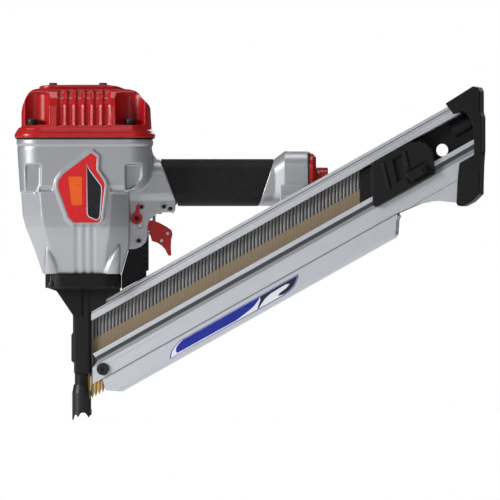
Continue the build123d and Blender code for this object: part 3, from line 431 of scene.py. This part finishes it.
# Cast and moulded pieces: voxel size in millimetres, and rounds of smoothing
CAST = {
    "body_housing": (1.0, 4),
    "cylinder_cap": (0.9, 3),
    "nose_casting": (0.7, 3),
    "end_cap": (0.6, 2),
    "exhaust_cover": (0.6, 2),
    "handle_grip": (0.8, 3),
    "contact_arm_cover": (0.45, 2),
    "magazine_rear_cap": (0.6, 2),
    "nail_pusher": (0.4, 2),
    "pusher_latch": (0.25, 2),
    "trigger": (0.35, 2),
    "trigger_contact_lever": (0.3, 1),
    "mode_lever": (0.25, 2),
    "contact_foot": (0.35, 2),
    "handle_bracket": (0.5, 2),
}

# Machined, folded and extruded pieces: width of the eased edge, millimetres
EASED = {
    "magazine_top_rail": 0.3,
    "magazine_near_rail": 0.35,
    "magazine_far_rail": 0.35,
    "magazine_tip_cover": 0.4,
    "magazine_back_plate": 0.3,
    "contact_arm": 0.3,
    "arm_screw": 0.2,
    "cap_bolts": 0.3,
    "nose_bolts": 0.3,
    "end_cap_bolts": 0.2,
    "exhaust_screws": 0.2,
    "magazine_screws": 0.3,
    "mode_lever_screw": 0.15,
    "side_badges": 0.15,
    "trigger_pivot": 0.2,
    "lever_pins": 0.2,
    "bracket_pins": 0.2,
    "driver_blade": 0.15,
    "piston": 0.3,
    "cylinder_sleeve": 0.3,
}


def ease(obj, width):
    """Rounds the sharp edges of a CAD node, with a width in millimetres."""
    weld = obj.modifiers.new("weld", "WELD")
    weld.merge_threshold = 0.00001
    bevel = obj.modifiers.new("edge", "BEVEL")
    bevel.width = width * 0.001
    bevel.segments = 2
    bevel.limit_method = "ANGLE"
    bevel.angle_limit = math.radians(35)
    bevel.harden_normals = True


def recast(name, voxel, rounds):
    """A smooth cast skin over the CAD node's own shape."""
    source = nodes[name]
    piece = bpy.data.objects.new(name + "_skin", source.data.copy())
    scene.collection.objects.link(piece)
    piece.data.materials.clear()
    piece.data.materials.append(surface[slot_of[name]])
    remesh = piece.modifiers.new("skin", "REMESH")
    remesh.mode = "VOXEL"
    remesh.voxel_size = voxel * 0.001
    remesh.use_smooth_shade = True
    smooth = piece.modifiers.new("round", "SMOOTH")
    smooth.factor = 0.5
    smooth.iterations = rounds
    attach(piece, source["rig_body"])
    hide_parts(name)


def coil(name, joint, travel):
    """A copy of the spring on the same body, standing in for the CAD node; it keeps its shape.
    The joint and the travel are not used.
    """
    source = nodes[name]
    piece = bpy.data.objects.new(name + "_coil", source.data.copy())
    scene.collection.objects.link(piece)
    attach(piece, source["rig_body"])
    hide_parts(name)
    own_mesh(piece)


# Springs: the joint that shortens each one, and by how much, metres
SPRINGS = {
    "contact_arm_spring": ("contact_arm_slide", 0.008),
    "head_valve_spring": ("head_valve_lift", 0.006),
    "valve_spring": ("valve_stem_slide", 0.003),
}

for name, o in nodes.items():
    o.data.materials[0] = surface[slot_of[name]]
    if name in SPRINGS:
        coil(name, *SPRINGS[name])
    elif name in CAST:
        recast(name, *CAST[name])
    elif name in EASED:
        ease(o, EASED[name])

# ================= printed fields and rims =================

def prism(name, outline, place, thick, material, stands_on):
    """A thin plate with the given outline; place turns (a, b, height) into a world point."""
    ground = [place(a, b, 0.0) for a, b in outline]
    raised = [place(a, b, thick) for a, b in outline]
    count = len(outline)
    mesh = bpy.data.meshes.new(name)
    sides = [(i, (i + 1) % count, count + (i + 1) % count, count + i) for i in range(count)]
    mesh.from_pydata(ground + raised, [], [tuple(range(count))[::-1],
                                           tuple(range(count, 2 * count))] + sides)
    shell = bmesh.new()
    shell.from_mesh(mesh)
    bmesh.ops.recalc_face_normals(shell, faces=shell.faces)
    shell.to_mesh(mesh)
    shell.free()
    piece = bpy.data.objects.new(name, mesh)
    scene.collection.objects.link(piece)
    mesh.materials.append(material)
    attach(piece, nodes[stands_on]["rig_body"])


def grown(outline, by):
    """The outline pushed outwards by a distance, corner by corner."""
    corners = [Vector(p) for p in outline]
    middle = sum(corners, Vector((0, 0))) / len(corners)
    result = []
    for i, corner in enumerate(corners):
        back = (corner - corners[i - 1]).normalized()
        ahead = (corners[(i + 1) % len(corners)] - corner).normalized()
        out = Vector((back.y + ahead.y, -back.x - ahead.x))
        if out.dot(corner - middle) < 0:
            out = -out
        result.append(tuple(corner + out.normalized() * by))
    return result


ink = {
    "white": print_ink("foil_white", (0.62, 0.64, 0.68)),
    "blue": print_ink("foil_blue", (0.010, 0.020, 0.23)),
    "navy": print_ink("foil_navy", (0.012, 0.014, 0.035)),
    "pale": print_ink("foil_pale_blue", (0.42, 0.56, 0.68)),
    "black": print_ink("foil_black", (0.006, 0.006, 0.007)),
    "orange": print_ink("foil_orange", (0.72, 0.10, 0.008)),
}

# Badge outlines on both sides of the body, millimetres: X and Z
WING = [(5.6, 256.5), (8.2, 250.5), (19.8, 235.0), (20.4, 230.0), (18.6, 204.5), (17.4, 201.2),
        (15.2, 200.2), (8.2, 203.2), (6.4, 206.0)]
PATCH = [(-13.6, 243.6), (-12.6, 244.6), (-0.6, 244.6), (0.4, 243.6), (0.4, 216.0), (-0.6, 215.0),
         (-9.0, 215.0), (-10.4, 216.4)]
badge_low, badge_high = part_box("side_badges")


def near_badge(a, b, height):
    return Vector((a * 0.001, badge_low.y - height * 0.001, b * 0.001))


def far_badge(a, b, height):
    return Vector((a * 0.001, badge_high.y + height * 0.001, b * 0.001))


for word, place in (("near", near_badge), ("far", far_badge)):
    prism("badge_patch_" + word, PATCH, place, 0.08, ink["orange"], "side_badges")
    prism("badge_wing_rim_" + word, grown(WING, 1.0), place, 0.08, ink["pale"], "side_badges")
    prism("badge_wing_" + word, WING, place, 0.16, ink["black"], "side_badges")

# Foil on the lower cover of the magazine, millimetres: along the rail and across it
FOIL = [(59.9, -87.6), (61.4, -85.0), (63.7, -82.5), (66.6, -80.4), (70.0, -78.6), (74.4, -77.0),
        (79.0, -75.9), (221.1, -75.9), (219.0, -79.4), (215.2, -82.6), (211.0, -85.2),
        (206.1, -87.0), (197.3, -88.2)]
FOIL_FACE = [(61.4, -87.2), (62.8, -84.9), (65.0, -82.6), (67.8, -80.6), (71.2, -78.9),
             (75.2, -77.5), (79.4, -76.6), (219.4, -76.6), (217.6, -79.4), (214.2, -82.2),
             (210.2, -84.6), (205.6, -86.3), (197.2, -87.4)]
BLUE = [(69.5, -86.0), (69.2, -83.8), (70.6, -81.4), (74.0, -78.9), (81.3, -76.9),
        (174.0, -76.9), (171.6, -79.2), (164.0, -82.6), (155.4, -84.3), (141.0, -86.4)]
BLACK = [(174.2, -76.9), (218.9, -76.9), (217.2, -79.4), (214.0, -82.0), (210.0, -84.4),
         (205.4, -86.0), (197.7, -87.0), (191.2, -85.6), (193.6, -84.0), (203.0, -82.6),
         (208.1, -80.6), (204.0, -79.0), (186.0, -79.6), (178.0, -81.4), (171.8, -84.4),
         (167.0, -87.2), (165.4, -87.2), (169.0, -83.6), (172.6, -80.8)]
cover_n = max((v.co - RAIL_O).dot(RAIL_N) for v in nodes["magazine_tip_cover"].data.vertices)


def on_cover(a, b, height):
    return rail(a, b, cover_n * 1000 + height)


prism("foil_rim", FOIL, on_cover, 0.06, ink["blue"], "magazine_tip_cover")
prism("foil_face", FOIL_FACE, on_cover, 0.12, ink["white"], "magazine_tip_cover")
prism("foil_blue", BLUE, on_cover, 0.18, ink["blue"], "magazine_tip_cover")
prism("foil_black", BLACK, on_cover, 0.18, ink["navy"], "magazine_tip_cover")

# Raised rims round the bracket pins, on both cheeks: X and Z of the pins, millimetres
PIN_SPOTS = ((61.8, 213.5), (85.4, 213.9), (92.0, 211.7), (59.1, 178.4))
CHEEK_FACE = 16.2
RIM_RADIUS = 0.0033
RIM_THICK = 0.0007
for number, (x, z) in enumerate(PIN_SPOTS):
    for word, side in (("near", -1), ("far", 1)):
        bpy.ops.mesh.primitive_torus_add(
            major_radius=RIM_RADIUS, minor_radius=RIM_THICK, major_segments=48, minor_segments=12,
            location=(x / 1000, side * CHEEK_FACE / 1000, z / 1000),
            rotation=(math.radians(90), 0, 0))
        rim = bpy.context.object
        rim.name = f"pin_rim_{word}_{number}"
        rim.data.materials.append(surface["silver_paint"])
        rim.data.shade_smooth()
        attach(rim, nodes["body_housing"]["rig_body"])

# ================= floor, light and camera =================

FLOOR_HALF = 0.9
corners = [(x * FLOOR_HALF, y * FLOOR_HALF, cad_low[2])
           for x, y in ((-1, -1), (1, -1), (1, 1), (-1, 1))]
floor_mesh = bpy.data.meshes.new("floor")
floor_mesh.from_pydata(corners, [], [(0, 1, 2, 3)])
floor = bpy.data.objects.new("floor", floor_mesh)
scene.collection.objects.link(floor)
ground = Graph("pale_floor", (0.86, 0.86, 0.86), 0.7)
ground.color(ground.ramp(ground.noise(60, 3), [(0.3, (0.85, 0.85, 0.85)),
                                               (0.7, (0.88, 0.88, 0.88))]))
ground.shader.inputs["Emission Color"].default_value = (1, 1, 1, 1)
ground.shader.inputs["Emission Strength"].default_value = 0.5
floor.data.materials.append(ground.material)
floor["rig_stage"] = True


LAMP_AIM = Vector((0.17, 0, 0.17))


def lamp(name, at, size, power):
    """A soft area lamp aimed at the middle of the tool; size in metres, power in watts."""
    light = bpy.data.lights.new(name, "AREA")
    light.shape = "RECTANGLE"
    light.size, light.size_y = size
    light.energy = power
    stand = bpy.data.objects.new(name, light)
    stand.location = at
    stand.rotation_euler = (LAMP_AIM - Vector(at)).to_track_quat("-Z", "Y").to_euler()
    stand.visible_camera = False
    scene.collection.objects.link(stand)


lamp("key", (-2.1, -1.2, 0.8), (0.9, 0.9), 60)
lamp("front", (0.3, -2.8, 0.9), (0.9, 0.9), 7)
lamp("top", (0.0, -0.2, 1.9), (1.0, 0.8), 12)
lamp("rear", (0.7, 1.7, 1.0), (1.0, 0.8), 10)

# White behind the tool, and a weak even light on it

world = bpy.data.worlds.new("studio")
scene.world = world
world.use_nodes = True
sky = world.node_tree
backdrop = sky.nodes["Background"]
backdrop.inputs["Color"].default_value = (1.0, 1.0, 1.0, 1)
backdrop.inputs["Strength"].default_value = 1.0
ambient = sky.nodes.new("ShaderNodeBackground")
ambient.inputs["Color"].default_value = (0.97, 0.98, 1.0, 1)
ambient.inputs["Strength"].default_value = 0.13
seen = sky.nodes.new("ShaderNodeLightPath")
join = sky.nodes.new("ShaderNodeMixShader")
sky.links.new(seen.outputs["Is Camera Ray"], join.inputs[0])
sky.links.new(ambient.outputs[0], join.inputs[1])
sky.links.new(backdrop.outputs[0], join.inputs[2])
sky.links.new(join.outputs[0], sky.nodes["World Output"].inputs["Surface"])

# A long lens from far away, level and square to the near side
CAMERA_AT = (0.1747, -20.0, 0.1685)
LENS = 1385
camera_data = bpy.data.cameras.new("camera")
camera_data.sensor_width = 36
camera_data.lens = LENS
camera_data.clip_end = 100
camera = bpy.data.objects.new("camera", camera_data)
camera.location = CAMERA_AT
camera.rotation_euler = (math.radians(90), 0, 0)
scene.collection.objects.link(camera)
scene.camera = camera
